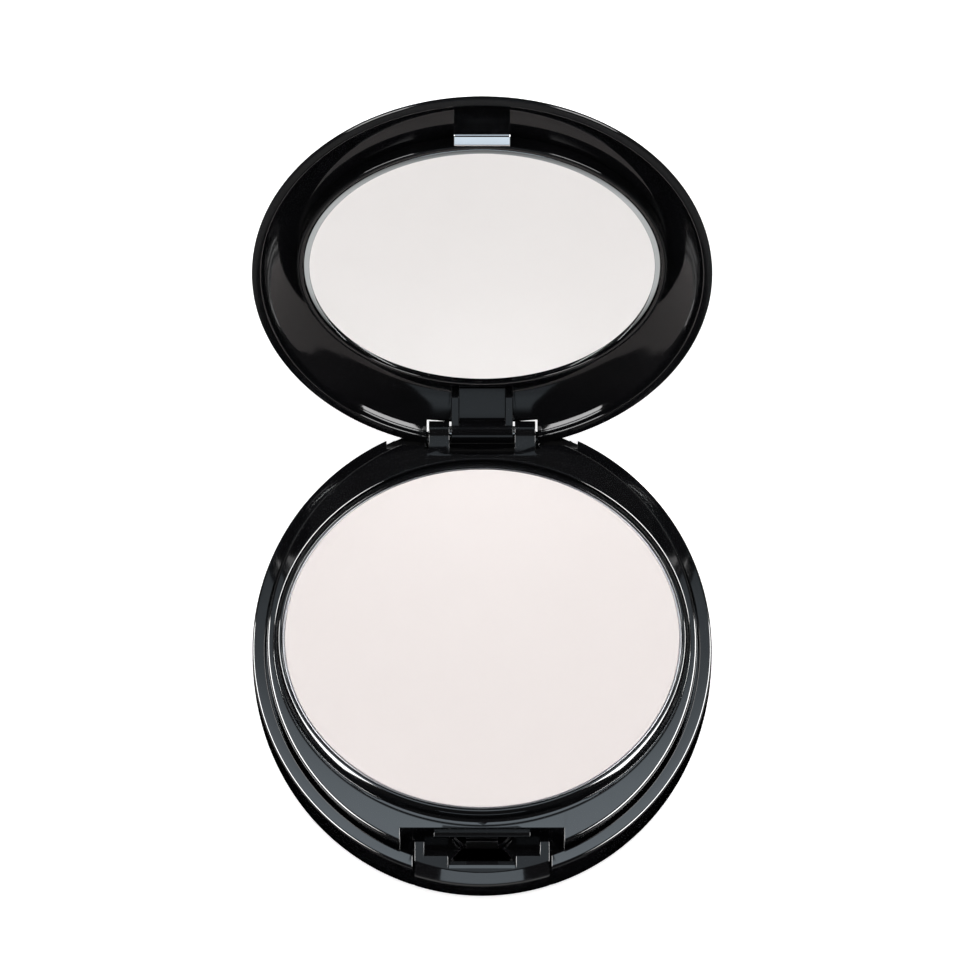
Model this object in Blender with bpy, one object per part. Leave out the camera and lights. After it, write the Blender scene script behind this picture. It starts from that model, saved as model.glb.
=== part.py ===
"""A pressed-powder compact: an oval hinged case with a round pan, a round mirror and a push-button latch.

Metres, +Z up. The case rests on Z = 0 with its hinge at +Y and its latch at -Y. The lid is
modelled closed, then turned about the hinge axis to the open position in which it is stored.
"""

from math import cos, pi, radians, sin

import bmesh
import bpy
from mathutils import Matrix, Vector

MM = 0.001

# Driving dimensions, in millimetres.
HALF_WIDTH = 33.5
ASPECT = 1.17
RIM_Z = 9.2
DECK_Z = 10.8
LID_RIM_Z = 9.5
PAN_Y = 0.5
PAN_RADIUS = 29.1
PAN_TOP_Z = 11.3
PAN_BOTTOM_Z = 8.0
MIRROR_Y = 0.9
MIRROR_RADIUS = 25.9
MIRROR_FRONT_Z = 12.0
HINGE_Y = 36.2
HINGE_Z = 10.4
OPEN_DEGREES = 98.5

# Fits and clearances.
GAP = 0.3
BOND = 0.02
EDGE_CHAMFER = 0.25

# Deck, ledge and pan well.
DECK_HALF_WIDTH = HALF_WIDTH - 2.15
SHELL_INNER = DECK_HALF_WIDTH + GAP
LEDGE_INNER = DECK_HALF_WIDTH - 0.95
BLOCK_HALF_WIDTH = LEDGE_INNER - GAP
BLOCK_BOTTOM_Z = 3.6
SLAB_BOTTOM_Z = 6.6
MOAT_HALF_WIDTH = 30.25
MOAT_HALF_DEPTH = 31.1
MOAT_Y = 0.1
MOAT_DEPTH = 1.0
COLLAR_INNER = PAN_RADIUS + 0.1
COLLAR_OUTER = COLLAR_INNER + 0.75
WELL_FLOOR_Z = PAN_BOTTOM_Z - 0.5
PAN_WALL = 0.3
PAN_FLOOR = 0.4
ADHESIVE_RADIUS = 22.0

# Mirror and its seat.
SEAT_RADIUS = 27.0
SEAT_TOP_Z = 14.3 - BOND
MIRROR_THICKNESS = 1.0
MIRROR_BEVEL = 0.9
TAPE_THICKNESS = 0.35

# Hinge, at the back.
KNUCKLE_RADIUS = 1.6
LUG_SLOT_RADIUS = 1.85
PIN_RADIUS = 0.6
PIN_HOLE_RADIUS = 0.75
LUG_INNER_X = 4.8
LUG_OUTER_X = 7.8
HINGE_SLOT_X = LUG_OUTER_X + GAP
SKIN_SWING_RADIUS = 3.4
SLOT_BOTTOM_Z = 7.9
SLOT_FRONT_Y = HINGE_Y - 4.0
SWING_RADIUS = 2.5
SWING_X = 14.0
PIN_INNER_X = 1.2
RIB_THICKNESS = 1.1
PIN_OUTER_X = LUG_OUTER_X - 0.8

# Latch, at the front of the case.
POCKET_X = 11.95
POCKET_BACK_Y = -31.55
POCKET_FLOOR_Z = 4.4
BUTTON_X = 9.8
BUTTON_BOTTOM_Z = 2.8
BUTTON_BACK_Y = -35.2
BUTTON_TRAVEL = 1.0
CLIP_X = 4.05
CLIP_TIP_Z = 6.75
CLIP_FRONT_Y = -34.2
CLIP_TOE_Y = -32.4
CLIP_SHEET = 0.8
CLIP_FOOT_Y = -31.6
NOTCH_X = 4.92
NOTCH_Z = 6.5
NOTCH_FRONT_Y = -37.2
NOSE_X = 4.8
NOSE_REACH = 1.0
ARM_INNER_X = 8.4
ARM_BACK_Y = -32.9
ARM_BOTTOM_Z = 7.6
LIP_X = 7.0
SPRING_TOP_Z = 5.6
TAB_X = 2.3
TAB_TOP_Z = 7.4

# How far a cutting tool reaches past the part.
FAR = 45.0

OVAL_STEPS = 80
ROUND_STEPS = 60
PIN_STEPS = 20


def remove_everything():
    for item in list(bpy.data.objects):
        bpy.data.objects.remove(item, do_unlink=True)


def material(name, color, roughness, metallic=0.0):
    made = bpy.data.materials.new(name)
    made.use_nodes = True
    shader = made.node_tree.nodes["Principled BSDF"]
    shader.inputs["Base Color"].default_value = (*color, 1.0)
    shader.inputs["Roughness"].default_value = roughness
    shader.inputs["Metallic"].default_value = metallic
    made.diffuse_color = (*color, 1.0)
    return made


def add_object(name, mesh, finish=None):
    mesh.shade_smooth()
    mesh.set_sharp_from_angle(angle=radians(30))
    obj = bpy.data.objects.new(name, mesh)
    bpy.context.scene.collection.objects.link(obj)
    if finish is not None:
        mesh.materials.append(finish)
    return obj


def mesh_from(name, bm):
    bmesh.ops.recalc_face_normals(bm, faces=bm.faces[:])
    mesh = bpy.data.meshes.new(name)
    bm.to_mesh(mesh)
    bm.free()
    return mesh


def ring(bm, half_width, z, aspect, centre_y, steps):
    points = []
    for step in range(steps):
        angle = 2 * pi * step / steps
        x = half_width * cos(angle)
        y = centre_y + half_width * aspect * sin(angle)
        points.append(bm.verts.new((x * MM, y * MM, z * MM)))
    return points


def join_rings(bm, first, second):
    count = len(first)
    for step in range(count):
        after = (step + 1) % count
        bm.faces.new((first[step], first[after], second[after], second[step]))


def turned(name, profile, aspect=1.0, centre_y=0.0, steps=ROUND_STEPS):
    """A solid stacked from rings of one shape, as the profile lists (half width, z), capped at both ends."""
    bm = bmesh.new()
    rings = [ring(bm, half, z, aspect, centre_y, steps) for half, z in profile]
    for lower, upper in zip(rings, rings[1:]):
        join_rings(bm, lower, upper)
    bm.faces.new(rings[0])
    bm.faces.new(rings[-1])
    return mesh_from(name, bm)


def box_mesh(name, low, high):
    bm = bmesh.new()
    centre = (Vector(low) + Vector(high)) / 2 * MM
    size = (Vector(high) - Vector(low)) * MM
    place = Matrix.Translation(centre) @ Matrix.Diagonal((*size, 1.0))
    bmesh.ops.create_cube(bm, size=1.0, matrix=place)
    return mesh_from(name, bm)


def extruded_mesh(name, outline, x_low, x_high):
    """A prism along X whose outline lists (y, z)."""
    bm = bmesh.new()
    ends = []
    for x in (x_low, x_high):
        ends.append([bm.verts.new((x * MM, y * MM, z * MM)) for y, z in outline])
    join_rings(bm, ends[0], ends[1])
    bm.faces.new(ends[0])
    bm.faces.new(ends[1])
    return mesh_from(name, bm)


def barrel_mesh(name, radius, x_low, x_high, steps=PIN_STEPS):
    """A cylinder along the hinge axis."""
    outline = []
    for step in range(steps):
        angle = 2 * pi * step / steps
        outline.append((HINGE_Y + radius * cos(angle), HINGE_Z + radius * sin(angle)))
    return extruded_mesh(name, outline, x_low, x_high)


def apply_boolean(target, mesh, operation):
    """Joins, cuts or intersects a mesh with a target, and keeps only the target."""
    tool = bpy.data.objects.new(target.name + "_tool", mesh)
    bpy.context.scene.collection.objects.link(tool)
    step = target.modifiers.new("step", "BOOLEAN")
    step.operation = operation
    step.solver = "EXACT"
    step.object = tool
    bpy.context.view_layer.update()
    evaluated = target.evaluated_get(bpy.context.evaluated_depsgraph_get())
    result = bpy.data.meshes.new_from_object(evaluated)
    target.modifiers.clear()
    target.data = result
    bpy.data.objects.remove(tool, do_unlink=True)


def cut(target, *meshes):
    for mesh in meshes:
        apply_boolean(target, mesh, "DIFFERENCE")


def fuse(target, *meshes):
    for mesh in meshes:
        apply_boolean(target, mesh, "UNION")


def keep_inside(target, mesh):
    apply_boolean(target, mesh, "INTERSECT")


def oval(name, profile):
    return turned(name, profile, ASPECT, 0.0, OVAL_STEPS)


def case_outer_profile():
    """Half width and height of the lower case's outside, from its foot up to its rim."""
    return [
        (28.2, 0.0),
        (29.8, 0.3),
        (31.0, 0.85),
        (32.0, 1.7),
        (32.8, 2.9),
        (33.2, 4.0),
        (33.42, 5.5),
        (HALF_WIDTH, 7.2),
        (HALF_WIDTH, 8.2),
        (33.4, 8.9),
        (33.1, RIM_Z),
    ]


def lid_outer_profile():
    """Half width and height of the closed lid's outside, from its rim to its crown."""
    return [
        (33.38, LID_RIM_Z),
        (HALF_WIDTH, 9.75),
        (33.4, 10.1),
        (32.95, 10.6),
        (32.3, 11.2),
        (31.25, 12.2),
        (30.3, 13.1),
        (29.5, 13.85),
        (28.5, 14.65),
        (27.0, 15.5),
        (24.8, 16.2),
        (21.5, 16.7),
        (17.0, 17.05),
        (11.0, 17.25),
        (4.0, 17.3),
    ]


def lid_inner_profile():
    """Half width and height of the closed lid's hollow, from below its rim to its flat floor."""
    return [
        (32.1, LID_RIM_Z - 1.0),
        (32.1, LID_RIM_Z),
        (32.0, 10.3),
        (31.7, 11.0),
        (31.0, 11.7),
        (30.0, 12.5),
        (28.9, 13.3),
        (28.0, 13.85),
        (27.3, 14.2),
        (26.9, 14.3),
    ]


def base_shell(finish):
    outside = case_outer_profile()
    shell = add_object("base_shell", oval("base_shell", outside), finish)
    ledge_z = SLAB_BOTTOM_Z - BOND
    hollow = [(27.6, 1.2), (29.0, 1.4), (30.0, 2.0), (LEDGE_INNER, 3.2), (LEDGE_INNER, ledge_z)]
    hollow += [(SHELL_INNER, ledge_z), (SHELL_INNER, RIM_Z + 1.0)]
    cut(shell, oval("hollow", hollow))
    button_side = BUTTON_X + GAP
    button_low = (-button_side, -FAR, BUTTON_BOTTOM_Z - GAP)
    cut(shell, box_mesh("button_gap", button_low, (button_side, POCKET_BACK_Y, FAR)))
    cut(shell, barrel_mesh("swing", SWING_RADIUS, -SWING_X, SWING_X, 32))
    cut(shell, barrel_mesh("skin_swing", SKIN_SWING_RADIUS, -HINGE_SLOT_X - GAP, HINGE_SLOT_X + GAP, 32))
    rear_low = (-HINGE_SLOT_X, SLOT_FRONT_Y, SLOT_BOTTOM_Z)
    cut(shell, box_mesh("hinge_gap", rear_low, (HINGE_SLOT_X, FAR, FAR)))
    return shell


def deck_body():
    """The slab that rests on the case's ledge, with the deep block that holds the latch pocket."""
    profile = [
        (BLOCK_HALF_WIDTH, BLOCK_BOTTOM_Z),
        (BLOCK_HALF_WIDTH, SLAB_BOTTOM_Z),
        (DECK_HALF_WIDTH, SLAB_BOTTOM_Z),
        (DECK_HALF_WIDTH, DECK_Z - EDGE_CHAMFER),
        (DECK_HALF_WIDTH - EDGE_CHAMFER, DECK_Z),
    ]
    body = add_object("deck_frame", oval("deck_frame", profile))
    side = POCKET_X + 1.3
    back = POCKET_BACK_Y + 1.0
    cut(
        body,
        box_mesh("under_rear", (-FAR, back, 0), (FAR, FAR, SLAB_BOTTOM_Z)),
        box_mesh("under_left", (-FAR, -FAR, 0), (-side, back + 1, SLAB_BOTTOM_Z)),
        box_mesh("under_right", (side, -FAR, 0), (FAR, back + 1, SLAB_BOTTOM_Z)),
    )
    return body


def cut_latch_pocket(deck):
    pocket_low = (-POCKET_X, -FAR, POCKET_FLOOR_Z)
    cut(deck, box_mesh("pocket", pocket_low, (POCKET_X, POCKET_BACK_Y, FAR)))
    button_side = BUTTON_X + GAP
    reach = BUTTON_BACK_Y + BUTTON_TRAVEL + GAP
    cut(deck, box_mesh("button_way", (-button_side, -FAR, 0), (button_side, reach, FAR)))
    root, tip = POCKET_BACK_Y + 0.4, POCKET_BACK_Y - 0.6
    lip = [(root, 8.7), (tip, 9.0), (tip, 9.4), (root, 9.7)]
    fuse(deck, extruded_mesh("lip", lip, -LIP_X, LIP_X))


def cut_hinge_seat(deck):
    """Room for the lid's knuckle and swinging rim, and the two lugs that carry the pins."""
    cut(deck, barrel_mesh("swing", SWING_RADIUS, -SWING_X, SWING_X, 32))
    cut(deck, barrel_mesh("skin_swing", SKIN_SWING_RADIUS, -HINGE_SLOT_X - GAP, HINGE_SLOT_X + GAP, 32))
    cut(deck, box_mesh("hinge_step", (-SWING_X, HINGE_Y, 0), (SWING_X, FAR, FAR)))
    slot_low = (-LUG_INNER_X, SLOT_FRONT_Y, SLOT_BOTTOM_Z)
    cut(deck, box_mesh("knuckle_slot", slot_low, (LUG_INNER_X, FAR, FAR)))
    web = [(31.9, 7.7), (32.8, 8.0), (34.9, 9.4), (HINGE_Y, HINGE_Z)]
    web += [(35.6, 11.5), (33.6, DECK_Z + 0.3), (31.9, DECK_Z - 0.05)]
    for side in (-1, 1):
        low_x, high_x = sorted((side * LUG_INNER_X, side * LUG_OUTER_X))
        fuse(deck, extruded_mesh("lug_web", web, low_x, high_x))
        fuse(deck, barrel_mesh("lug_barrel", KNUCKLE_RADIUS - 0.01, low_x, high_x, 24))
        hole = sorted((side * (LUG_INNER_X - 1), side * (PIN_OUTER_X + 0.2)))
        cut(deck, barrel_mesh("pin_hole", PIN_HOLE_RADIUS, *hole))


def deck_frame(finish):
    deck = deck_body()
    moat = [(MOAT_HALF_WIDTH, DECK_Z - MOAT_DEPTH), (MOAT_HALF_WIDTH, FAR)]
    cut(deck, turned("moat", moat, MOAT_HALF_DEPTH / MOAT_HALF_WIDTH, MOAT_Y, OVAL_STEPS))
    collar = [(COLLAR_OUTER, SLAB_BOTTOM_Z + 1), (COLLAR_OUTER, PAN_TOP_Z)]
    fuse(deck, turned("collar", collar, 1.0, PAN_Y))
    well = [(COLLAR_INNER, WELL_FLOOR_Z), (COLLAR_INNER, FAR)]
    cut(deck, turned("well", well, 1.0, PAN_Y))
    cut_latch_pocket(deck)
    cut_hinge_seat(deck)
    deck.data.materials.clear()
    deck.data.materials.append(finish)
    return deck


def powder_pan(finish):
    outside = [
        (PAN_RADIUS - EDGE_CHAMFER, PAN_BOTTOM_Z),
        (PAN_RADIUS, PAN_BOTTOM_Z + EDGE_CHAMFER),
        (PAN_RADIUS, PAN_TOP_Z),
    ]
    pan = add_object("powder_pan", turned("powder_pan", outside, 1.0, PAN_Y), finish)
    inner = PAN_RADIUS - PAN_WALL
    inside = [(inner, PAN_BOTTOM_Z + PAN_FLOOR), (inner, FAR)]
    cut(pan, turned("pan_inside", inside, 1.0, PAN_Y))
    return pan


def pressed_powder(finish):
    radius = PAN_RADIUS - PAN_WALL - 2 * BOND
    profile = [
        (radius, PAN_BOTTOM_Z + PAN_FLOOR + BOND),
        (radius, PAN_TOP_Z - 0.2),
        (radius - 0.35, PAN_TOP_Z - 0.05),
    ]
    return add_object("pressed_powder", turned("pressed_powder", profile, 1.0, PAN_Y), finish)


def pan_adhesive(finish):
    profile = [(ADHESIVE_RADIUS, WELL_FLOOR_Z + BOND), (ADHESIVE_RADIUS, PAN_BOTTOM_Z - BOND)]
    return add_object("pan_adhesive", turned("pan_adhesive", profile, 1.0, PAN_Y), finish)


def push_button(finish):
    """The front plate is a piece of the case's own outer surface, with two guide arms and a pushing nose."""
    button = add_object("push_button", oval("push_button", case_outer_profile()))
    plate_low = (-BUTTON_X, -FAR, BUTTON_BOTTOM_Z)
    keep_inside(button, box_mesh("plate", plate_low, (BUTTON_X, BUTTON_BACK_Y, FAR)))
    cut(button, box_mesh("clip_notch", (-NOTCH_X, NOTCH_FRONT_Y, NOTCH_Z), (NOTCH_X, 0, FAR)))
    root_y = BUTTON_BACK_Y - 0.5
    nose_y = BUTTON_BACK_Y + NOSE_REACH
    nose = [(root_y, 4.9), (nose_y, 4.9), (nose_y, 5.8), (root_y, 6.3)]
    fuse(button, extruded_mesh("nose", nose, -NOSE_X, NOSE_X))
    for side in (-1, 1):
        low_x, high_x = sorted((side * ARM_INNER_X, side * BUTTON_X))
        fuse(button, box_mesh("arm", (low_x, root_y, ARM_BOTTOM_Z), (high_x, ARM_BACK_Y, RIM_Z)))
    button.data.materials.clear()
    button.data.materials.append(finish)
    return button


def button_spring(finish):
    """A steel leaf: a flat middle with an upright tab at the pocket's back, and ends bowed to the button."""
    reach, flat, half_span, thickness = 2.0, 2.4, 4.4, 0.25
    back_y = POCKET_BACK_Y - 0.15
    steps = 16
    outline = []
    for offset in (0.0, thickness):
        row = []
        for step in range(steps + 1):
            x = half_span * (2 * step / steps - 1)
            along = max(0.0, (abs(x) - flat) / (half_span - flat))
            row.append((x, back_y - offset - reach * along ** 1.5))
        outline += row if offset == 0.0 else row[::-1]
    bm = bmesh.new()
    levels = []
    for z in (POCKET_FLOOR_Z + 0.3, SPRING_TOP_Z):
        levels.append([bm.verts.new((x * MM, y * MM, z * MM)) for x, y in outline])
    join_rings(bm, levels[0], levels[1])
    bm.faces.new(levels[0])
    bm.faces.new(levels[1])
    leaf = add_object("button_spring", mesh_from("button_spring", bm), finish)
    tab_low = (-TAB_X, back_y - thickness, SPRING_TOP_Z - 0.3)
    fuse(leaf, box_mesh("tab", tab_low, (TAB_X, back_y, TAB_TOP_Z)))
    return leaf


def hinge_pin(name, side, finish):
    low_x, high_x = sorted((side * PIN_INNER_X, side * PIN_OUTER_X))
    return add_object(name, barrel_mesh(name, PIN_RADIUS, low_x, high_x), finish)


def lid_shell(finish):
    shell = add_object("lid_shell", oval("lid_shell", lid_outer_profile()))
    cut(shell, oval("lid_hollow", lid_inner_profile()))
    pocket = [(25.0, 14.0), (25.0, 15.0), (21.0, 15.6), (16.0, 15.9)]
    cut(shell, turned("lid_core", pocket, 1.0, MIRROR_Y))
    cut(shell, barrel_mesh("lug_slot", LUG_SLOT_RADIUS, -HINGE_SLOT_X, HINGE_SLOT_X, 32))
    arm_x = LUG_INNER_X - GAP
    rib = [(30.2, 13.4), (30.6, 12.3), (32.6, 11.3), (34.6, 10.2), (HINGE_Y, HINGE_Z)]
    rib += [(37.0, 11.1), (35.9, 12.1), (34.5, 13.0), (32.0, 14.4), (30.2, 14.6)]
    web = [(30.5, 14.0), (33.0, 12.5), (35.0, 11.6), (HINGE_Y, HINGE_Z + 0.6)]
    web += [(37.0, 11.1), (35.9, 12.1), (34.5, 13.0), (32.0, 14.4), (30.5, 14.6)]
    fuse(shell, barrel_mesh("lid_barrel", KNUCKLE_RADIUS, -arm_x, arm_x, 24))
    fuse(shell, extruded_mesh("arm_web", web, -arm_x, arm_x))
    for side in (-1, 1):
        low_x, high_x = sorted((side * (arm_x - RIB_THICKNESS), side * arm_x))
        fuse(shell, extruded_mesh("arm_rib", rib, low_x, high_x))
    for side in (-1, 1):
        hole = sorted((side * (PIN_INNER_X - GAP), side * (arm_x + 1)))
        cut(shell, barrel_mesh("lid_pin_hole", PIN_HOLE_RADIUS, *hole))
    shell.data.materials.clear()
    shell.data.materials.append(finish)
    return shell


def mirror_seat(finish):
    outside = [
        (SEAT_RADIUS - 0.45, SEAT_TOP_Z),
        (SEAT_RADIUS, SEAT_TOP_Z - 0.3),
        (SEAT_RADIUS, MIRROR_FRONT_Z + 0.1),
        (SEAT_RADIUS - 0.15, MIRROR_FRONT_Z - 0.05),
    ]
    seat = add_object("mirror_seat", turned("mirror_seat", outside, 1.0, MIRROR_Y), finish)
    inner = MIRROR_RADIUS + EDGE_CHAMFER
    floor_z = MIRROR_FRONT_Z + MIRROR_THICKNESS + TAPE_THICKNESS
    recess = [(inner, floor_z), (inner, MIRROR_FRONT_Z - 1)]
    cut(seat, turned("mirror_recess", recess, 1.0, MIRROR_Y))
    return seat


def mirror(finish):
    profile = [
        (MIRROR_RADIUS, MIRROR_FRONT_Z + MIRROR_THICKNESS),
        (MIRROR_RADIUS, MIRROR_FRONT_Z + 0.25),
        (MIRROR_RADIUS - MIRROR_BEVEL, MIRROR_FRONT_Z),
    ]
    return add_object("mirror", turned("mirror", profile, 1.0, MIRROR_Y), finish)


def mirror_tape(finish):
    back = MIRROR_FRONT_Z + MIRROR_THICKNESS
    profile = [(ADHESIVE_RADIUS, back + BOND), (ADHESIVE_RADIUS, back + TAPE_THICKNESS - BOND)]
    return add_object("mirror_tape", turned("mirror_tape", profile, 1.0, MIRROR_Y), finish)


def latch_clip(finish):
    """A folded steel strip: a foot bonded along the lid's wall, a stem, and a toe towards the hinge."""
    outline = [
        (CLIP_FRONT_Y, 12.5),
        (CLIP_FRONT_Y, CLIP_TIP_Z + 0.25),
        (CLIP_FRONT_Y + 0.2, CLIP_TIP_Z),
        (CLIP_TOE_Y - 0.3, CLIP_TIP_Z - 0.5),
        (CLIP_TOE_Y, CLIP_TIP_Z - 0.25),
        (CLIP_TOE_Y - 0.15, CLIP_TIP_Z + 0.5),
        (CLIP_FRONT_Y + CLIP_SHEET, CLIP_TIP_Z + 1.4),
        (CLIP_FRONT_Y + CLIP_SHEET, 12.0),
        (CLIP_FOOT_Y, 13.35),
        (CLIP_FOOT_Y, 14.1),
    ]
    return add_object("latch_clip", extruded_mesh("latch_clip", outline, -CLIP_X, CLIP_X), finish)


def hang_on_hinge(pieces):
    """Parents the lid's pieces to an empty on the hinge axis and swings it open."""
    axis = bpy.data.objects.new("lid_axis", None)
    bpy.context.scene.collection.objects.link(axis)
    place = Vector((0, HINGE_Y * MM, HINGE_Z * MM))
    axis.location = place
    for piece in pieces:
        piece.data.transform(Matrix.Translation(-place))
        piece.parent = axis
    axis.rotation_euler = (-radians(OPEN_DEGREES), 0, 0)


def build():
    remove_everything()
    black = (0.006, 0.006, 0.007)
    steel = (0.62, 0.62, 0.63)
    base_shell(material("base_shell", black, 0.08))
    deck_frame(material("deck_frame", black, 0.06))
    powder_pan(material("powder_pan", (0.55, 0.56, 0.58), 0.25, 1.0))
    pressed_powder(material("pressed_powder", (0.86, 0.79, 0.76), 0.9))
    pan_adhesive(material("pan_adhesive", (0.8, 0.78, 0.7), 0.6))
    push_button(material("push_button", black, 0.08))
    button_spring(material("button_spring", steel, 0.25, 1.0))
    for name, side in (("hinge_pin_left", -1), ("hinge_pin_right", 1)):
        hinge_pin(name, side, material(name, steel, 0.25, 1.0))
    lid_pieces = [
        lid_shell(material("lid_shell", black, 0.06)),
        mirror_seat(material("mirror_seat", black, 0.08)),
        mirror_tape(material("mirror_tape", (0.85, 0.85, 0.83), 0.7)),
        mirror(material("mirror", (0.9, 0.9, 0.92), 0.02, 1.0)),
        latch_clip(material("latch_clip", (0.8, 0.8, 0.82), 0.08, 1.0)),
    ]
    hang_on_hinge(lid_pieces)


build()
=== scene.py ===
from math import cos, pi, radians, sin, tan

import bmesh
import bpy
from mathutils import Matrix, Vector


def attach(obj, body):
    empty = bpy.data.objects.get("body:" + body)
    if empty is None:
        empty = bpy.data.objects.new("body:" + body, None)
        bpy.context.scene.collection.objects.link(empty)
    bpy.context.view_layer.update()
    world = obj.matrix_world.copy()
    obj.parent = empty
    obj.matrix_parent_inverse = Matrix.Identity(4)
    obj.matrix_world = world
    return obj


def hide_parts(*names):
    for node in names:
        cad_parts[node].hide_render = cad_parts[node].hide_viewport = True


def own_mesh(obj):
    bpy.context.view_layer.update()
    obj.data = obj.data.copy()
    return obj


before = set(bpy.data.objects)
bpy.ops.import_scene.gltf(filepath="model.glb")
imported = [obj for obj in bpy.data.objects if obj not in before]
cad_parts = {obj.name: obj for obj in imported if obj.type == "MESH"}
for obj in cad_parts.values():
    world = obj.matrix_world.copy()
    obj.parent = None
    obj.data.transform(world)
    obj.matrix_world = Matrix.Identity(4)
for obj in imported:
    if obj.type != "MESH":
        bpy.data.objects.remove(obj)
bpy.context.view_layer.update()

MM = 0.001

# The part's own dimensions, in millimetres.
HALF_WIDTH = 33.5
ASPECT = 1.17
RIM_Z = 9.2
DECK_Z = 10.8
LID_RIM_Z = 9.5
PAN_Y = 0.5
PAN_RADIUS = 29.1
PAN_TOP_Z = 11.3
PAN_BOTTOM_Z = 8.0
MIRROR_Y = 0.9
MIRROR_RADIUS = 25.9
MIRROR_FRONT_Z = 12.0
HINGE_Y = 36.2
HINGE_Z = 10.4
OPEN_DEGREES = 98.5
GAP = 0.3
DECK_HALF_WIDTH = HALF_WIDTH - 2.15
SHELL_INNER = DECK_HALF_WIDTH + GAP
LEDGE_INNER = DECK_HALF_WIDTH - 0.95
BLOCK_HALF_WIDTH = LEDGE_INNER - GAP
BLOCK_BOTTOM_Z = 3.6
SLAB_BOTTOM_Z = 6.6
COLLAR_INNER = PAN_RADIUS + 0.1
COLLAR_OUTER = COLLAR_INNER + 0.75
PAN_WALL = 0.3
WELL_FLOOR_Z = PAN_BOTTOM_Z - 0.5
SEAT_RADIUS = 27.0
SEAT_TOP_Z = 14.28
KNUCKLE_RADIUS = 1.6
LUG_SLOT_RADIUS = 1.85
PIN_RADIUS = 0.6
PIN_HOLE_RADIUS = 0.75
PIN_INNER_X = 1.2
RIB_THICKNESS = 1.1
LUG_INNER_X = 4.8
LUG_OUTER_X = 7.8
PIN_OUTER_X = LUG_OUTER_X - 0.8
HINGE_SLOT_X = LUG_OUTER_X + GAP
SKIN_SWING_RADIUS = 3.4
SLOT_BOTTOM_Z = 7.9
SLOT_FRONT_Y = HINGE_Y - 4.0
SWING_RADIUS = 2.5
SWING_X = 14.0
POCKET_X = 11.95
POCKET_BACK_Y = -31.55
POCKET_FLOOR_Z = 4.4
BUTTON_X = 9.8
BUTTON_BOTTOM_Z = 2.8
BUTTON_BACK_Y = -35.2
BUTTON_TRAVEL = 1.0
BUTTON_TOP_DEGREES = 4.5
ARM_TIP_Y = -32.9
CLIP_X = 4.05
CLIP_TIP_Z = 6.75
CLIP_FRONT_Y = -34.2
CLIP_TOE_Y = -32.4
CLIP_SHEET = 0.8
CLIP_FOOT_Y = -31.6
NOTCH_X = 4.92
NOTCH_Z = 6.5
NOTCH_FRONT_Y = -37.2
LIP_X = 7.0
NOSE_X = 4.8
SPRING_TOP_Z = 5.6
TAB_X = 2.3
TAB_TOP_Z = 7.4
FAR = 45.0

OVAL_STEPS = 224
ROUND_STEPS = 200
WELD = 0.02 * MM

# Half width and z of the outside of the case, from its foot up to where flange and button part ways.
FOOT_PROFILE = [(28.2, 0.0), (29.8, 0.3), (31.0, 0.85), (32.0, 1.7), (32.8, 2.9), (33.2, 4.0), (33.42, 5.5)]
FLANGE_ROUND = 0.34

# Rounding of the moulded and cut edges of each piece, in millimetres.
SHELL_EDGE = 0.09
DECK_EDGE = 0.07
BUTTON_EDGE = 0.1
LID_EDGE = 0.08
PIN_EDGE = 0.12
SPRING_EDGE = 0.05
CLIP_EDGE = 0.07

# Studio: radiance against height of the direction, 0 straight down and 1 straight up, and the lights.
SKY_LEVELS = ((0.0, 0.0), (0.10, 0.0), (0.15, 0.45), (0.24, 0.45),
              (0.32, 0.12), (0.5, 0.1), (0.62, 0.03), (1.0, 0.03))
BACKDROP_LEVEL = 1.2
CARD_TINT = (0.87, 1.0, 1.1)
BACK_LEVELS = ((0.0, 0.3), (0.4, 0.4), (0.55, 1.6), (0.63, 1.4), (0.73, 0.5), (0.86, 0.2), (1.0, 0.0))
FRONT_LEVELS = ((0.0, 0.8), (0.35, 0.9), (0.5, 1.15), (0.9, 1.1), (1.0, 0.2))
STRIP_RADIANCE = 18.0
TOP_RADIANCE = 4.25

# Camera: a long lens, set by its distance and the width it covers there, in metres.
VIEW_DISTANCE = 3.5
VIEW_WIDTH = 0.1409
VIEW_ELEVATION = 58.4
VIEW_TARGET = (0.35, 15.1, 30.0)
SENSOR = 36.0


# ---------------------------------------------------------------- outlines

def arc(cx, cz, radius, start, end, steps=5):
    """Points of an arc from start to end degrees, ends included."""
    points = []
    for step in range(steps + 1):
        angle = radians(start + (end - start) * step / steps)
        points.append((cx + radius * cos(angle), cz + radius * sin(angle)))
    return points


def spline(points, per=5):
    """A Catmull-Rom curve through the points."""
    ends = [points[0]] + list(points) + [points[-1]]
    out = []
    for a, b, c, d in zip(ends, ends[1:], ends[2:], ends[3:]):
        for step in range(per):
            t = step / per
            out.append(tuple(
                0.5 * (2 * q + (r - p) * t + (2 * p - 5 * q + 4 * r - s) * t * t
                       + (3 * q - p - 3 * r + s) * t ** 3)
                for p, q, r, s in zip(a, b, c, d)))
    out.append(tuple(points[-1]))
    return out


def oval(profile):
    """Levels (half width, z) of the case's oval, as rings (half width, half depth, centre y, z)."""
    return [(half, half * ASPECT, 0.0, z) for half, z in profile]


def circle(profile, centre_y):
    return [(radius, radius, centre_y, z) for radius, z in profile]


# ---------------------------------------------------------------- meshes

def finish_mesh(bm, name):
    bmesh.ops.recalc_face_normals(bm, faces=bm.faces[:])
    mesh = bpy.data.meshes.new(name)
    bm.to_mesh(mesh)
    bm.free()
    return mesh


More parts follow.
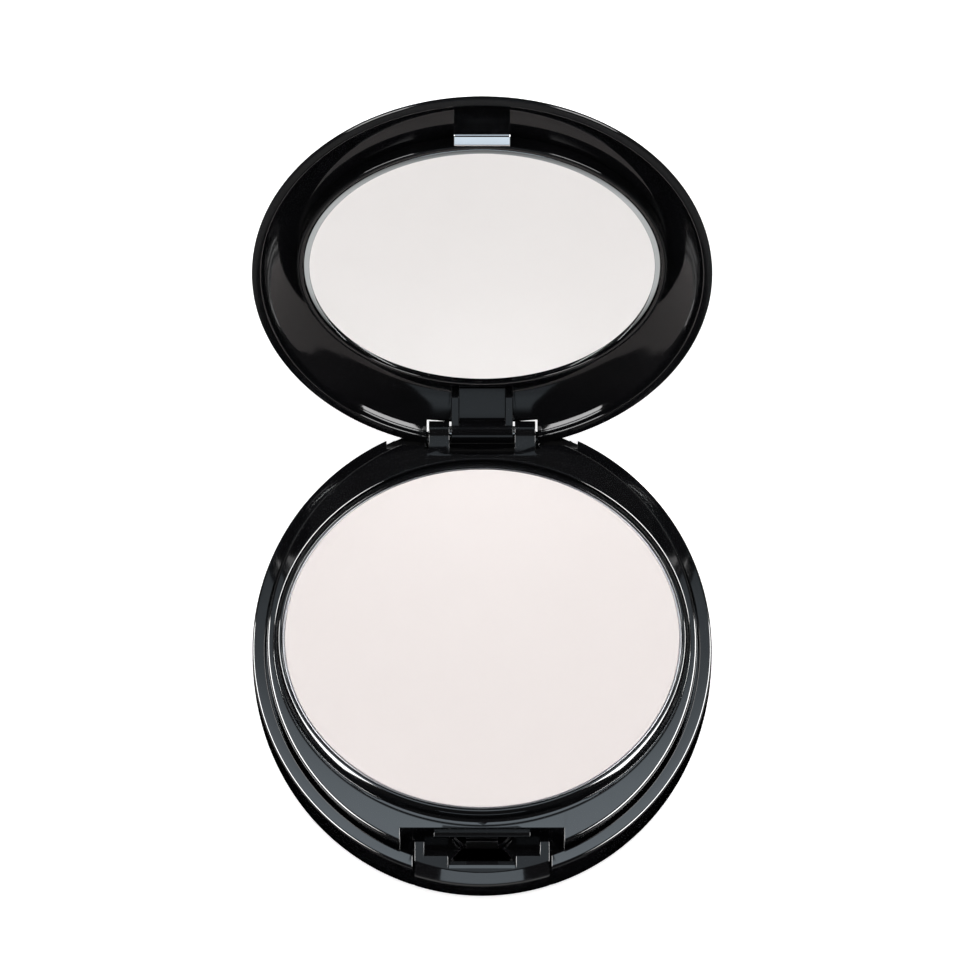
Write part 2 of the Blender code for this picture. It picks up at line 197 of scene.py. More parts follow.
def loft(name, rings, steps):
    """A capped solid through rings of half width, half depth, centre y and z."""
    bm = bmesh.new()
    rows = []
    for a, b, centre, z in rings:
        row = []
        for step in range(steps):
            angle = 2 * pi * step / steps
            row.append(bm.verts.new((a * cos(angle) * MM, (centre + b * sin(angle)) * MM, z * MM)))
        rows.append(row)
    for low, high in zip(rows, rows[1:]):
        for step in range(steps):
            after = (step + 1) % steps
            bm.faces.new((low[step], low[after], high[after], high[step]))
    bm.faces.new(rows[0])
    bm.faces.new(rows[-1])
    return finish_mesh(bm, name)


def prism(name, outline, low_x, high_x):
    """A prism along X whose outline lists (y, z)."""
    bm = bmesh.new()
    ends = [[bm.verts.new((x * MM, y * MM, z * MM)) for y, z in outline] for x in (low_x, high_x)]
    count = len(outline)
    for step in range(count):
        after = (step + 1) % count
        bm.faces.new((ends[0][step], ends[0][after], ends[1][after], ends[1][step]))
    bm.faces.new(ends[0])
    bm.faces.new(ends[1])
    return finish_mesh(bm, name)


def block(low, high):
    bm = bmesh.new()
    size = (Vector(high) - Vector(low)) * MM
    place = Matrix.Translation((Vector(low) + Vector(high)) / 2 * MM) @ Matrix.Diagonal((*size, 1.0))
    bmesh.ops.create_cube(bm, size=1.0, matrix=place)
    return finish_mesh(bm, "block")


def barrel(radius, low_x, high_x, steps=48):
    outline = [(HINGE_Y + y, HINGE_Z + z) for y, z in arc(0, 0, radius, 0, 360 * (1 - 1 / steps), steps - 1)]
    return prism("barrel", outline, low_x, high_x)


def add(name, mesh):
    obj = bpy.data.objects.new(name, mesh)
    bpy.context.scene.collection.objects.link(obj)
    return obj


def combine(obj, operation, *meshes):
    for mesh in meshes:
        tool = add("tool", mesh)
        step = obj.modifiers.new("step", "BOOLEAN")
        step.operation = operation
        step.solver = "EXACT"
        step.object = tool
        bpy.context.view_layer.update()
        result = bpy.data.meshes.new_from_object(obj.evaluated_get(bpy.context.evaluated_depsgraph_get()))
        obj.modifiers.clear()
        obj.data = result
        bpy.data.objects.remove(tool, do_unlink=True)


def soften(obj, width, angle=38.0, segments=3):
    """Rounds every edge sharper than angle by width, so that moulded edges catch light."""
    bm = bmesh.new()
    bm.from_mesh(obj.data)
    bmesh.ops.remove_doubles(bm, verts=bm.verts[:], dist=WELD)
    bmesh.ops.dissolve_degenerate(bm, edges=bm.edges[:], dist=WELD)
    sharp = [e for e in bm.edges if e.is_manifold and e.calc_face_angle(0.0) > radians(angle)]
    bmesh.ops.bevel(bm, geom=sharp, offset=width * MM, offset_type="OFFSET", segments=segments,
                    profile=0.5, affect="EDGES", clamp_overlap=False)
    bm.to_mesh(obj.data)
    bm.free()


def smooth(obj, angle=42.0):
    obj.data.shade_smooth()
    obj.data.set_sharp_from_angle(angle=radians(angle))
    normals = obj.modifiers.new("normals", "WEIGHTED_NORMAL")
    normals.keep_sharp = True
    normals.weight = 60


def place(obj, body, slot, material, *nodes):
    """Gives a piece its finish and its body, and hides the CAD nodes it stands for. Lid pieces are turned
    open.
    """
    if body == "lid":
        pivot = Vector((0, HINGE_Y * MM, HINGE_Z * MM))
        turn = Matrix.Rotation(-radians(OPEN_DEGREES), 4, "X")
        obj.data.transform(Matrix.Translation(pivot) @ turn @ Matrix.Translation(-pivot))
    obj.data.materials.clear()
    obj.data.materials.append(material)
    smooth(obj)
    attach(obj, body)
    if nodes:
        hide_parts(*nodes)


# ---------------------------------------------------------------- finishes

class Finish:
    """A node material, with short ways to add the usual procedural layers."""

    def __init__(self, name, color, roughness, metallic=0.0):
        self.material = bpy.data.materials.new(name)
        self.material.use_nodes = True
        self.nodes = self.material.node_tree.nodes
        self.links = self.material.node_tree.links
        self.shader = self.nodes["Principled BSDF"]
        self.set("Base Color", (*color, 1.0))
        self.set("Roughness", roughness)
        self.set("Metallic", metallic)
        self.coords = self.nodes.new("ShaderNodeTexCoord").outputs["Object"]

    def set(self, socket, value):
        self.shader.inputs[socket].default_value = value

    def stretched(self, scale):
        mapping = self.nodes.new("ShaderNodeMapping")
        mapping.inputs["Scale"].default_value = scale
        self.links.new(self.coords, mapping.inputs["Vector"])
        return mapping.outputs["Vector"]

    def noise(self, scale, detail=3.0, rough=0.55, vector=None):
        node = self.nodes.new("ShaderNodeTexNoise")
        node.inputs["Scale"].default_value = scale
        node.inputs["Detail"].default_value = detail
        node.inputs["Roughness"].default_value = rough
        self.links.new(vector or self.coords, node.inputs["Vector"])
        return node.outputs["Fac"]

    def mapped(self, value, low, high, to_low, to_high):
        node = self.nodes.new("ShaderNodeMapRange")
        limits = (("From Min", low), ("From Max", high), ("To Min", to_low), ("To Max", to_high))
        for socket, number in limits:
            node.inputs[socket].default_value = number
        self.links.new(value, node.inputs["Value"])
        return node.outputs["Result"]

    def math(self, operation, first, second):
        node = self.nodes.new("ShaderNodeMath")
        node.operation = operation
        for index, value in enumerate((first, second)):
            if isinstance(value, float):
                node.inputs[index].default_value = value
            else:
                self.links.new(value, node.inputs[index])
        return node.outputs["Value"]

    def blend(self, factor, first, second):
        node = self.nodes.new("ShaderNodeMix")
        node.data_type = "RGBA"
        node.inputs["A"].default_value = (*first, 1.0)
        node.inputs["B"].default_value = (*second, 1.0)
        self.links.new(factor, node.inputs["Factor"])
        return node.outputs["Result"]

    def feed(self, socket, value):
        self.links.new(value, self.shader.inputs[socket])

    def bump(self, height, strength, distance):
        node = self.nodes.new("ShaderNodeBump")
        node.inputs["Strength"].default_value = strength
        node.inputs["Distance"].default_value = distance
        self.links.new(height, node.inputs["Height"])
        previous = self.shader.inputs["Normal"]
        if previous.is_linked:
            self.links.new(previous.links[0].from_socket, node.inputs["Normal"])
        self.feed("Normal", node.outputs["Normal"])


def black_plastic(name, roughness=0.06, orange_peel=0.1, coat=1.0, specular=0.5):
    """Polished black moulding: a lacquer-like skin, faint flow marks, hairlines and a slight orange peel."""
    made = Finish(name, (0.003, 0.003, 0.0035), roughness)
    made.set("IOR", 1.5)
    made.set("Specular IOR Level", specular)
    made.set("Coat Weight", coat)
    made.set("Coat Roughness", 0.035)
    made.set("Coat IOR", 1.5)
    cloud = made.noise(130.0, 4.0)
    made.feed("Base Color", made.blend(cloud, (0.0022, 0.0022, 0.0026), (0.0042, 0.0043, 0.005)))
    hairline = made.noise(900.0, 2.0, 0.5, made.stretched((1.0, 0.06, 1.0)))
    wear = made.math("ADD", made.mapped(cloud, 0.35, 0.7, roughness, roughness + 0.05),
                     made.mapped(hairline, 0.62, 0.8, 0.0, 0.06))
    made.feed("Roughness", wear)
    made.bump(made.noise(420.0, 2.0), orange_peel, 0.000004)
    return made.material


def metal(name, color, roughness, brushed, scratch=0.03):
    """Plated or rolled metal: fine drawn lines along one axis and small changes of gloss."""
    made = Finish(name, color, roughness, 1.0)
    lines = made.noise(2600.0, 3.0, 0.6, made.stretched(brushed))
    cloud = made.noise(260.0, 3.0)
    made.feed("Base Color", made.blend(cloud, tuple(0.94 * c for c in color), color))
    made.feed("Roughness", made.math("ADD", made.mapped(lines, 0.3, 0.75, roughness, roughness + scratch),
                                     made.mapped(cloud, 0.4, 0.7, 0.0, 0.03)))
    made.bump(lines, 0.04, 0.000002)
    return made.material


def powder_finish():
    """Pressed powder: matte, very pale pink, with a fine pressed grain and slightly uneven tone."""
    made = Finish("powder", (0.86, 0.80, 0.77), 0.9)
    made.set("Specular IOR Level", 0.12)
    made.set("Sheen Weight", 0.12)
    made.set("Sheen Roughness", 0.6)
    tone = made.noise(90.0, 5.0, 0.6)
    grain = made.noise(5200.0, 4.0, 0.7)
    both = made.math("ADD", made.mapped(tone, 0.3, 0.7, 0.0, 0.55), made.mapped(grain, 0.3, 0.7, 0.0, 0.45))
    made.feed("Base Color", made.blend(both, (0.872, 0.806, 0.788), (0.892, 0.826, 0.808)))
    made.feed("Roughness", made.mapped(grain, 0.3, 0.7, 0.82, 0.96))
    made.bump(grain, 0.22, 0.00002)
    made.bump(made.noise(700.0, 3.0), 0.08, 0.00002)
    return made.material


def mirror_finish():
    """Silvered glass: a clean mirror with faint smears and wiping marks in its gloss."""
    made = Finish("mirror_glass", (0.95, 0.985, 0.99), 0.02, 1.0)
    made.set("Coat Weight", 0.3)
    made.set("Coat Roughness", 0.02)
    smear = made.noise(60.0, 4.0, 0.6)
    wipe = made.noise(420.0, 2.0, 0.5, made.stretched((1.0, 0.05, 0.05)))
    made.feed("Roughness", made.math("ADD", made.mapped(smear, 0.4, 0.75, 0.012, 0.035),
                                     made.mapped(wipe, 0.66, 0.85, 0.0, 0.03)))
    return made.material


def soft_finish(name, color, roughness):
    """Glue or foam tape: matte and slightly mottled."""
    made = Finish(name, color, roughness)
    cloud = made.noise(600.0, 4.0)
    made.feed("Base Color", made.blend(cloud, tuple(0.9 * c for c in color), color))
    made.feed("Roughness", made.mapped(cloud, 0.3, 0.7, roughness - 0.08, roughness + 0.05))
    made.bump(cloud, 0.3, 0.00003)
    return made.material


# ---------------------------------------------------------------- lower case

def outer_wall():
    """Half width and z of the case's outside, foot to flange, with a small rounded flange edge."""
    lower = spline(FOOT_PROFILE + [(HALF_WIDTH, 7.2), (HALF_WIDTH, 8.6)], 4)
    return lower + arc(HALF_WIDTH - FLANGE_ROUND, RIM_Z - FLANGE_ROUND, FLANGE_ROUND, 0, 90, 6)


def case_shell(material):
    hollow = [(SHELL_INNER + 0.12, RIM_Z), (SHELL_INNER, RIM_Z - 0.12), (SHELL_INNER, SLAB_BOTTOM_Z - 0.02)]
    hollow += [(LEDGE_INNER, SLAB_BOTTOM_Z - 0.02), (LEDGE_INNER, 3.2)]
    hollow += [(30.0, 2.0), (29.0, 1.4), (27.6, 1.2)]
    shell = add("case_shell", loft("case_shell", oval(outer_wall() + hollow), OVAL_STEPS))
    side = BUTTON_X + GAP
    combine(
        shell, "DIFFERENCE",
        block((-side, -FAR, BUTTON_BOTTOM_Z - GAP), (side, POCKET_BACK_Y, FAR)),
        barrel(SWING_RADIUS, -SWING_X, SWING_X),
        barrel(SKIN_SWING_RADIUS, -HINGE_SLOT_X - GAP, HINGE_SLOT_X + GAP),
        block((-HINGE_SLOT_X, SLOT_FRONT_Y, SLOT_BOTTOM_Z), (HINGE_SLOT_X, FAR, FAR)),
    )
    soften(shell, SHELL_EDGE)
    place(shell, "case", "case_black", material, "base_shell")


def deck_rings():
    """The deck's rings: well floor, round collar, oval groove, deck top, outer wall and underside."""
    rings = circle([(COLLAR_INNER, WELL_FLOOR_Z), (COLLAR_INNER, PAN_TOP_Z - 0.1)], PAN_Y)
    rings += circle(arc(COLLAR_INNER + 0.1, PAN_TOP_Z - 0.1, 0.1, 180, 90, 4)[1:], PAN_Y)
    rings += circle(arc(COLLAR_OUTER - 0.42, PAN_TOP_Z - 0.2, 0.2, 90, 55, 4), PAN_Y)
    rings += circle([(COLLAR_OUTER + 0.07, PAN_TOP_Z - 0.34), (COLLAR_OUTER + 0.1, PAN_TOP_Z - 0.6)], PAN_Y)
    rings += [(30.09, 30.16, PAN_Y, 10.1), (30.13, 30.4, 0.4, 9.82)]
    rings += [(30.17, 30.9, 0.14, 9.8), (30.21, 31.06, 0.1, 9.9), (30.22, 31.08, 0.1, DECK_Z - 0.3)]
    rings += [(30.22 + 0.3 - r, 31.08 + 0.3 - r, 0.1, z)
              for r, z in arc(0, DECK_Z - 0.3, 0.3, 0, 90, 6)[1:]]
    rings += [(30.6, 31.6, 0.1, DECK_Z)]
    rings += oval(arc(DECK_HALF_WIDTH - 0.4, DECK_Z - 0.4, 0.4, 90, 0, 8))
    rings += oval([(DECK_HALF_WIDTH, SLAB_BOTTOM_Z), (BLOCK_HALF_WIDTH, SLAB_BOTTOM_Z)])
    return rings + oval([(BLOCK_HALF_WIDTH, BLOCK_BOTTOM_Z)])


def deck(material):
    body = add("deck", loft("deck", deck_rings(), OVAL_STEPS))
    side = POCKET_X + 1.3
    back = POCKET_BACK_Y + 1.0
    button_side = BUTTON_X + GAP
    reach = BUTTON_BACK_Y + BUTTON_TRAVEL + GAP
    combine(
        body, "DIFFERENCE",
        block((-FAR, back, 0), (FAR, FAR, SLAB_BOTTOM_Z)),
        block((-FAR, -FAR, 0), (-side, back + 1, SLAB_BOTTOM_Z)),
        block((side, -FAR, 0), (FAR, back + 1, SLAB_BOTTOM_Z)),
        block((-POCKET_X, -FAR, POCKET_FLOOR_Z), (POCKET_X, POCKET_BACK_Y, FAR)),
        block((-button_side, -FAR, 0), (button_side, reach, FAR)),
    )
    root, tip = POCKET_BACK_Y + 0.4, POCKET_BACK_Y - 0.6
    lip = [(root, 8.7), (tip, 9.0), (tip, 9.4), (root, 9.7)]
    combine(body, "UNION", prism("lip", lip, -LIP_X, LIP_X))
    combine(
        body, "DIFFERENCE",
        barrel(SWING_RADIUS, -SWING_X, SWING_X),
        barrel(SKIN_SWING_RADIUS, -HINGE_SLOT_X - GAP, HINGE_SLOT_X + GAP),
        block((-SWING_X, HINGE_Y, 0), (SWING_X, FAR, FAR)),
        block((-LUG_INNER_X, SLOT_FRONT_Y, SLOT_BOTTOM_Z), (LUG_INNER_X, FAR, FAR)),
    )
    web = [(31.9, 7.7), (32.8, 8.0), (34.9, 9.4), (HINGE_Y, HINGE_Z)]
    web += [(35.6, 11.5), (33.6, DECK_Z + 0.3), (31.9, DECK_Z - 0.05)]
    for sign in (-1, 1):
        low_x, high_x = sorted((sign * LUG_INNER_X, sign * LUG_OUTER_X))
        combine(
            body, "UNION",
            prism("web", web, low_x, high_x),
            barrel(KNUCKLE_RADIUS - 0.01, low_x, high_x),
        )
        hole = sorted((sign * (LUG_INNER_X - 1), sign * (PIN_OUTER_X + 0.2)))
        combine(body, "DIFFERENCE", barrel(PIN_HOLE_RADIUS, *hole, 32))
    soften(body, DECK_EDGE)
    place(body, "case", "deck_black", material, "deck_frame")


def pan(material):
    inner = PAN_RADIUS - PAN_WALL
    floor_z = PAN_BOTTOM_Z + 0.4
    rings = [(inner - 1.0, floor_z), (inner - 0.2, floor_z), (inner, PAN_BOTTOM_Z + 0.6)]
    rings += arc(inner + 0.12, PAN_TOP_Z - 0.17, 0.12, 180, 90, 5)
    rings += arc(PAN_RADIUS - 0.12, PAN_TOP_Z - 0.17, 0.12, 90, 0, 5)
    rings += arc(PAN_RADIUS - 0.3, PAN_BOTTOM_Z + 0.3, 0.3, 0, -90, 5)
    made = add("pan", loft("pan", circle(rings, PAN_Y), ROUND_STEPS))
    place(made, "case", "pan_metal", material, "powder_pan")


def powder(material):
    radius = PAN_RADIUS - PAN_WALL - 0.04
    top = PAN_TOP_Z - 0.06
    rings = [(radius, PAN_BOTTOM_Z + 0.43), (radius, top - 0.1)]
    rings += arc(radius - 0.1, top - 0.1, 0.1, 0, 90, 4)
    rings += [(radius * share, top + 0.02 * sin(pi * share)) for share in (0.97, 0.9, 0.75, 0.5, 0.25, 0.05)]
    made = add("powder", loft("powder", circle(rings, PAN_Y), ROUND_STEPS))
    place(made, "case", "powder", material, "pressed_powder")


def button(material):
    chamfer = [(33.45, 7.1), (33.15, 7.7), (32.75, 8.3), (32.35, 8.9), (32.15, RIM_Z)]
    outline = spline(FOOT_PROFILE + chamfer, 4)
    made = add("button", loft("button", oval(outline), OVAL_STEPS))
    combine(made, "INTERSECT", block((-BUTTON_X, -FAR, BUTTON_BOTTOM_Z), (BUTTON_X, BUTTON_BACK_Y, FAR)))
    combine(made, "DIFFERENCE", block((-NOTCH_X, NOTCH_FRONT_Y, NOTCH_Z), (NOTCH_X, 0, FAR)))
    root = BUTTON_BACK_Y - 0.5
    nose = [(root, 4.9), (BUTTON_BACK_Y + 1.0, 4.9), (BUTTON_BACK_Y + 1.0, 5.8), (root, 6.3)]
    combine(made, "UNION", prism("nose", nose, -NOSE_X, NOSE_X))
    for sign in (-1, 1):
        low_x, high_x = sorted((sign * 8.4, sign * BUTTON_X))
        combine(made, "UNION", block((low_x, root, 7.6), (high_x, ARM_TIP_Y, RIM_Z)))
    fall = tan(radians(BUTTON_TOP_DEGREES))
    top = [(y, RIM_Z + (y - ARM_TIP_Y) * fall) for y in (-FAR, ARM_TIP_Y + 1)]
    combine(made, "DIFFERENCE", prism("top", top + [(ARM_TIP_Y + 1, FAR), (-FAR, FAR)], -FAR, FAR))
    soften(made, BUTTON_EDGE)
    place(made, "button", "button_black", material, "push_button")


def hinge_pins(material):
    for sign, node in ((-1, "hinge_pin_left"), (1, "hinge_pin_right")):
        ends = sorted((sign * PIN_INNER_X, sign * PIN_OUTER_X))
        pin = add(node.replace("hinge_", ""), barrel(PIN_RADIUS, *ends))
        soften(pin, PIN_EDGE)
        place(pin, "case", "pin_steel", material, node)


def leaf_spring(material):
    """A steel leaf: flat middle with an upright tab at the pocket's back, and ends bowed to the button."""
    reach, flat, half_span, thickness, steps = 2.0, 2.4, 4.4, 0.25, 48
    back_y = POCKET_BACK_Y - 0.15
    outline = []
    for offset in (0.0, thickness):
        row = []
        for step in range(steps + 1):
            x = half_span * (2 * step / steps - 1)
            along = max(0.0, (abs(x) - flat) / (half_span - flat))
            row.append((x, back_y - offset - reach * along ** 1.5))
        outline += row if offset == 0.0 else row[::-1]
    bm = bmesh.new()
    levels = [[bm.verts.new((x * MM, y * MM, z * MM)) for x, y in outline]
              for z in (POCKET_FLOOR_Z + 0.3, SPRING_TOP_Z)]
    for low, low_after, high, high_after in zip(levels[0], levels[0][1:] + levels[0][:1],
                                                levels[1], levels[1][1:] + levels[1][:1]):
        bm.faces.new((low, low_after, high_after, high))
    bm.faces.new(levels[0])
    bm.faces.new(levels[1])
    leaf = add("leaf_spring", finish_mesh(bm, "leaf_spring"))
    tab = block((-TAB_X, back_y - thickness, SPRING_TOP_Z - 0.3), (TAB_X, back_y, TAB_TOP_Z))
    combine(leaf, "UNION", tab)
    soften(leaf, SPRING_EDGE, 50.0, 2)
    place(leaf, "case", "spring_steel", material, "button_spring")
    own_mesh(leaf)


# ---------------------------------------------------------------- lid

def lid(material):
    outside = spline([(33.5, 9.75), (33.4, 10.1), (32.95, 10.6), (32.3, 11.2), (31.25, 12.2), (30.3, 13.1),
                      (29.5, 13.85), (28.5, 14.65), (27.0, 15.5), (24.8, 16.2), (21.5, 16.7), (17.0, 17.05),
                      (11.0, 17.25), (4.0, 17.3)], 4)
    inside = spline([(32.1, 9.72), (32.0, 10.3), (31.7, 11.0), (31.0, 11.7), (30.0, 12.5), (28.9, 13.3),
                     (28.0, 13.85), (27.3, 14.2), (26.9, 14.3)], 5)
    rim = arc(32.32, LID_RIM_Z + 0.22, 0.22, 180, 270, 5)
    rim += arc(33.28, LID_RIM_Z + 0.22, 0.22, 270, 350, 5)
    rings = inside[::-1] + rim[1:] + outside[1:]
    shell = add("lid", loft("lid", oval(rings), OVAL_STEPS))
    core = [(25.0, 14.0), (25.0, 15.0), (21.0, 15.6), (16.0, 15.9)]
    combine(
        shell, "DIFFERENCE",
        loft("core", circle(core, MIRROR_Y), ROUND_STEPS),
        barrel(LUG_SLOT_RADIUS, -HINGE_SLOT_X, HINGE_SLOT_X),
    )
    arm_x = LUG_INNER_X - GAP
    rib = [(30.2, 13.4), (30.6, 12.3), (32.6, 11.3), (34.6, 10.2), (HINGE_Y, HINGE_Z)]
    rib += [(37.0, 11.1), (35.9, 12.1), (34.5, 13.0), (32.0, 14.4), (30.2, 14.6)]
    web = [(30.5, 14.0), (33.0, 12.5), (35.0, 11.6), (HINGE_Y, HINGE_Z + 0.6)]
    web += [(37.0, 11.1), (35.9, 12.1), (34.5, 13.0), (32.0, 14.4), (30.5, 14.6)]
    combine(shell, "UNION", barrel(KNUCKLE_RADIUS, -arm_x, arm_x), prism("web", web, -arm_x, arm_x))
    for sign in (-1, 1):
        low_x, high_x = sorted((sign * (arm_x - RIB_THICKNESS), sign * arm_x))
        combine(shell, "UNION", prism("rib", rib, low_x, high_x))
    for sign in (-1, 1):
        combine(shell, "DIFFERENCE",
                barrel(PIN_HOLE_RADIUS, *sorted((sign * (PIN_INNER_X - GAP), sign * (arm_x + 1))), 32))
    soften(shell, LID_EDGE)
    place(shell, "lid", "lid_black", material, "lid_shell")


def mirror_platform(material):
    inner = MIRROR_RADIUS + 0.25
    floor_z = MIRROR_FRONT_Z + 1.35
    low = MIRROR_FRONT_Z - 0.05
    rings = [(inner - 2.0, floor_z), (inner, floor_z), (inner, low + 0.12)]
    rings += arc(inner + 0.12, low + 0.12, 0.12, 180, 270, 4)[1:]
    rings += arc(SEAT_RADIUS - 0.3, low + 0.3, 0.3, 270, 360, 5)
    rings += [(SEAT_RADIUS, SEAT_TOP_Z - 0.55), (SEAT_RADIUS - 0.08, SEAT_TOP_Z - 0.3)]
    rings += [(SEAT_RADIUS - 0.45, SEAT_TOP_Z)]
    seat = add("mirror_platform", loft("mirror_platform", circle(rings, MIRROR_Y), ROUND_STEPS))
    place(seat, "lid", "lid_black", material, "mirror_seat")


def mirror_glass(material):
    top = MIRROR_FRONT_Z
    rings = [(MIRROR_RADIUS - 0.1, top + 1.0), (MIRROR_RADIUS, top + 0.9), (MIRROR_RADIUS, top + 0.14)]
    rings += [(MIRROR_RADIUS - 0.04, top + 0.1), (MIRROR_RADIUS - 0.7, top + 0.01)]
    rings += [(MIRROR_RADIUS - 0.78, top)]
    glass = add("mirror_disc", loft("mirror_disc", circle(rings, MIRROR_Y), ROUND_STEPS))
    place(glass, "lid", "mirror_glass", material, "mirror")


def folded_clip(material):
    """The folded strip: a bright plate, a rounded bend and a toe."""
    front, sheet = CLIP_FRONT_Y, CLIP_SHEET
    tip = CLIP_TIP_Z
    outline = [(front, 12.5), (front, tip + 0.35)]
    outline += arc(front + 0.35, tip + 0.28, 0.35, 180, 255, 4)[1:]
    outline += [(CLIP_TOE_Y - 0.45, tip - 0.47)]
    outline += arc(CLIP_TOE_Y - 0.28, tip - 0.2, 0.28, 280, 380, 4)
    outline += [(CLIP_TOE_Y - 0.15, tip + 0.5), (front + sheet + 0.2, tip + 1.3)]
    outline += [(front + sheet, tip + 1.5), (front + sheet, 12.0), (CLIP_FOOT_Y, 13.35), (CLIP_FOOT_Y, 14.1)]
    clip = add("clip", prism("clip", outline, -CLIP_X, CLIP_X))
    soften(clip, CLIP_EDGE, 30.0)
    place(clip, "lid", "clip_steel", material, "latch_clip")


# ---------------------------------------------------------------- assembly

def build_object():
    case_shell(black_plastic("case_black"))
    deck(black_plastic("deck_black", 0.05, 0.08))
    pan(metal("pan_metal", (0.2, 0.2, 0.21), 0.3, (1.0, 1.0, 0.1), 0.08))
    powder(powder_finish())
    button(black_plastic("button_black", 0.07, 0.14))
    hinge_pins(metal("pin_steel", (0.66, 0.66, 0.67), 0.2, (0.1, 1.0, 1.0)))
    lid(black_plastic("lid_black", 0.06, 0.08, 0.0, 0.28))
    mirror_platform(black_plastic("platform_black", 0.06, 0.08, 0.0, 0.28))
    mirror_glass(mirror_finish())
    folded_clip(metal("clip_steel", (0.82, 0.82, 0.84), 0.05, (1.0, 0.08, 0.08)))
    leaf_spring(metal("spring_steel", (0.1, 0.1, 0.105), 0.34, (0.1, 1.0, 1.0)))
    hidden = (
        ("pan_adhesive", soft_finish("adhesive", (0.8, 0.78, 0.7), 0.6)),
        ("mirror_tape", soft_finish("tape", (0.85, 0.85, 0.83), 0.75)),
    )
    for node, material in hidden:
        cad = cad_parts[node]
        cad.data.materials.clear()
        cad.data.materials.append(material)


# ---------------------------------------------------------------- studio

def floor():
    """A plain pale sheet, lit and slightly luminous so that it stays white under the object."""
    bm = bmesh.new()
    bmesh.ops.create_grid(bm, x_segments=8, y_segments=8, size=12.0)
    sheet = add("floor", finish_mesh(bm, "floor"))
    sheet.location.z = -0.0002
    made = Finish("floor_paper", (0.92, 0.92, 0.92), 0.9)
    made.set("Specular IOR Level", 0.1)
    made.set("Emission Color", (1.0, 1.0, 1.0, 1.0))
    made.set("Emission Strength", 0.85)
    made.feed("Roughness", made.mapped(made.noise(40.0), 0.3, 0.7, 0.85, 0.95))
    sheet.data.materials.append(made.material)
    sheet.visible_glossy = False


def softbox(name, location, target, size_x, size_y, radiance):
    data = bpy.data.lights.new(name, "AREA")
    data.shape = "RECTANGLE"
    data.size = size_x
    data.size_y = size_y
    data.energy = radiance * pi * size_x * size_y
    lamp = bpy.data.objects.new(name, data)
    bpy.context.scene.collection.objects.link(lamp)
    lamp.location = location
    lamp.rotation_euler = (Vector(target) - Vector(location)).to_track_quat("-Z", "Y").to_euler()
    lamp.visible_camera = False
    return lamp


def surroundings():
    """The studio round the set: a pale table top below the horizon, dim above it, white for the backdrop."""
    world = bpy.data.worlds.new("studio")
    world.use_nodes = True
    bpy.context.scene.world = world
    nodes, links = world.node_tree.nodes, world.node_tree.links
    coords = nodes.new("ShaderNodeTexCoord")
    split = nodes.new("ShaderNodeSeparateXYZ")
    links.new(coords.outputs["Generated"], split.inputs["Vector"])
    ramp = nodes.new("ShaderNodeValToRGB")
    elements = ramp.color_ramp.elements
    while len(elements) < len(SKY_LEVELS):
        elements.new(0.5)
    for element, (at, level) in zip(elements, SKY_LEVELS):
        element.position = at
        element.color = (level, level, level, 1.0)
    height = nodes.new("ShaderNodeMapRange")
    height.inputs["From Min"].default_value = -1.0
    links.new(split.outputs["Z"], height.inputs["Value"])
    links.new(height.outputs["Result"], ramp.inputs["Fac"])
    path = nodes.new("ShaderNodeLightPath")
    pick = nodes.new("ShaderNodeMix")
    pick.data_type = "RGBA"
    pick.inputs["B"].default_value = (BACKDROP_LEVEL,) * 3 + (1.0,)
    links.new(path.outputs["Is Camera Ray"], pick.inputs["Factor"])
    links.new(ramp.outputs["Color"], pick.inputs["A"])
    links.new(pick.outputs["Result"], nodes["Background"].inputs["Color"])


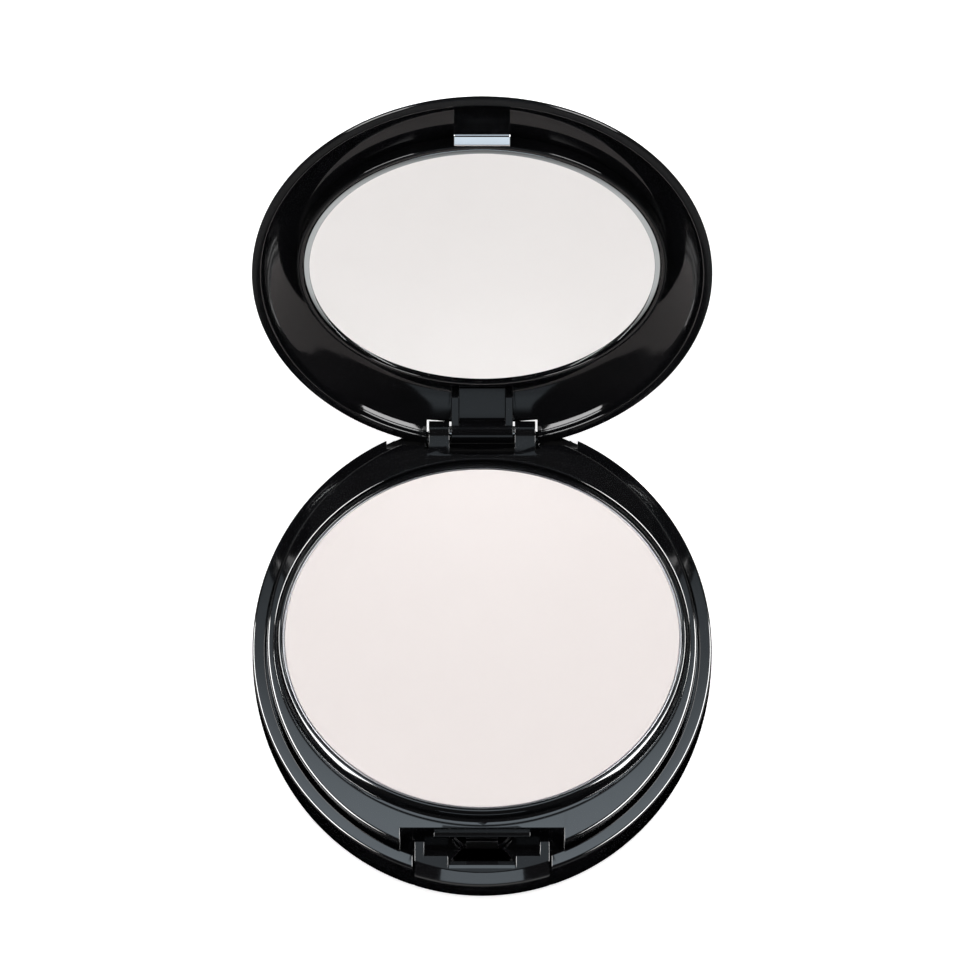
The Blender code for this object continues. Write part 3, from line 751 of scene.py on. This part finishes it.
def card(name, centre, size_x, size_y, levels, tilt=0.0):
    """A glowing card seen only in reflections. Its levels are (share of its length along Y, radiance)."""
    bm = bmesh.new()
    bmesh.ops.create_grid(bm, x_segments=1, y_segments=1, size=0.5)
    sheet = add(name, finish_mesh(bm, name))
    sheet.scale = (size_x, size_y, 1.0)
    sheet.location = centre
    sheet.rotation_euler.x = radians(tilt)
    made = bpy.data.materials.new(name)
    made.use_nodes = True
    nodes, links = made.node_tree.nodes, made.node_tree.links
    nodes.clear()
    coords = nodes.new("ShaderNodeTexCoord")
    split = nodes.new("ShaderNodeSeparateXYZ")
    links.new(coords.outputs["Generated"], split.inputs["Vector"])
    ramp = nodes.new("ShaderNodeValToRGB")
    elements = ramp.color_ramp.elements
    top = max(level for _, level in levels)
    while len(elements) < len(levels):
        elements.new(0.5)
    for element, (at, level) in zip(elements, levels):
        element.position = at
        element.color = (*(level / top * share for share in CARD_TINT), 1.0)
    links.new(split.outputs["Y"], ramp.inputs["Fac"])
    glow = nodes.new("ShaderNodeEmission")
    glow.inputs["Strength"].default_value = top
    links.new(ramp.outputs["Color"], glow.inputs["Color"])
    out = nodes.new("ShaderNodeOutputMaterial")
    links.new(glow.outputs["Emission"], out.inputs["Surface"])
    sheet.data.materials.append(made)
    for ray in ("visible_camera", "visible_diffuse", "visible_shadow", "visible_transmission"):
        setattr(sheet, ray, False)


def studio():
    floor()
    surroundings()
    card("back_card", (0.0, 0.17, 0.40), 0.5, 0.28, BACK_LEVELS)
    card("front_card", (0.0, -0.55, 0.13), 0.36, 0.26, FRONT_LEVELS, 90.0)
    for name, side in (("left", -1.0), ("right", 1.0)):
        place_at = (side * 0.40, 0.04, 0.37)
        strip = softbox(name + "_strip", place_at, (0.0, 0.0, 0.01), 0.62, 0.28, STRIP_RADIANCE)
        strip.visible_diffuse = False
    top = softbox("top_box", (0.0, -0.10, 0.55), (0.0, 0.0, 0.0), 0.5, 0.5, TOP_RADIANCE)
    top.visible_glossy = False
    view = bpy.context.scene.view_settings
    view.view_transform = "Standard"
    view.look = "None"


def camera():
    """A long lens at the photograph's angle above the horizon."""
    data = bpy.data.cameras.new("camera")
    data.sensor_width = SENSOR
    data.lens = SENSOR * VIEW_DISTANCE / VIEW_WIDTH
    data.clip_end = 30.0
    cam = bpy.data.objects.new("camera", data)
    bpy.context.scene.collection.objects.link(cam)
    up = radians(VIEW_ELEVATION)
    cam.location = Vector(VIEW_TARGET) * MM + Vector((0.0, -cos(up), sin(up))) * VIEW_DISTANCE
    cam.rotation_euler = (pi / 2 - up, 0.0, 0.0)
    bpy.context.scene.camera = cam


build_object()
studio()
camera()
bpy.context.view_layer.update()
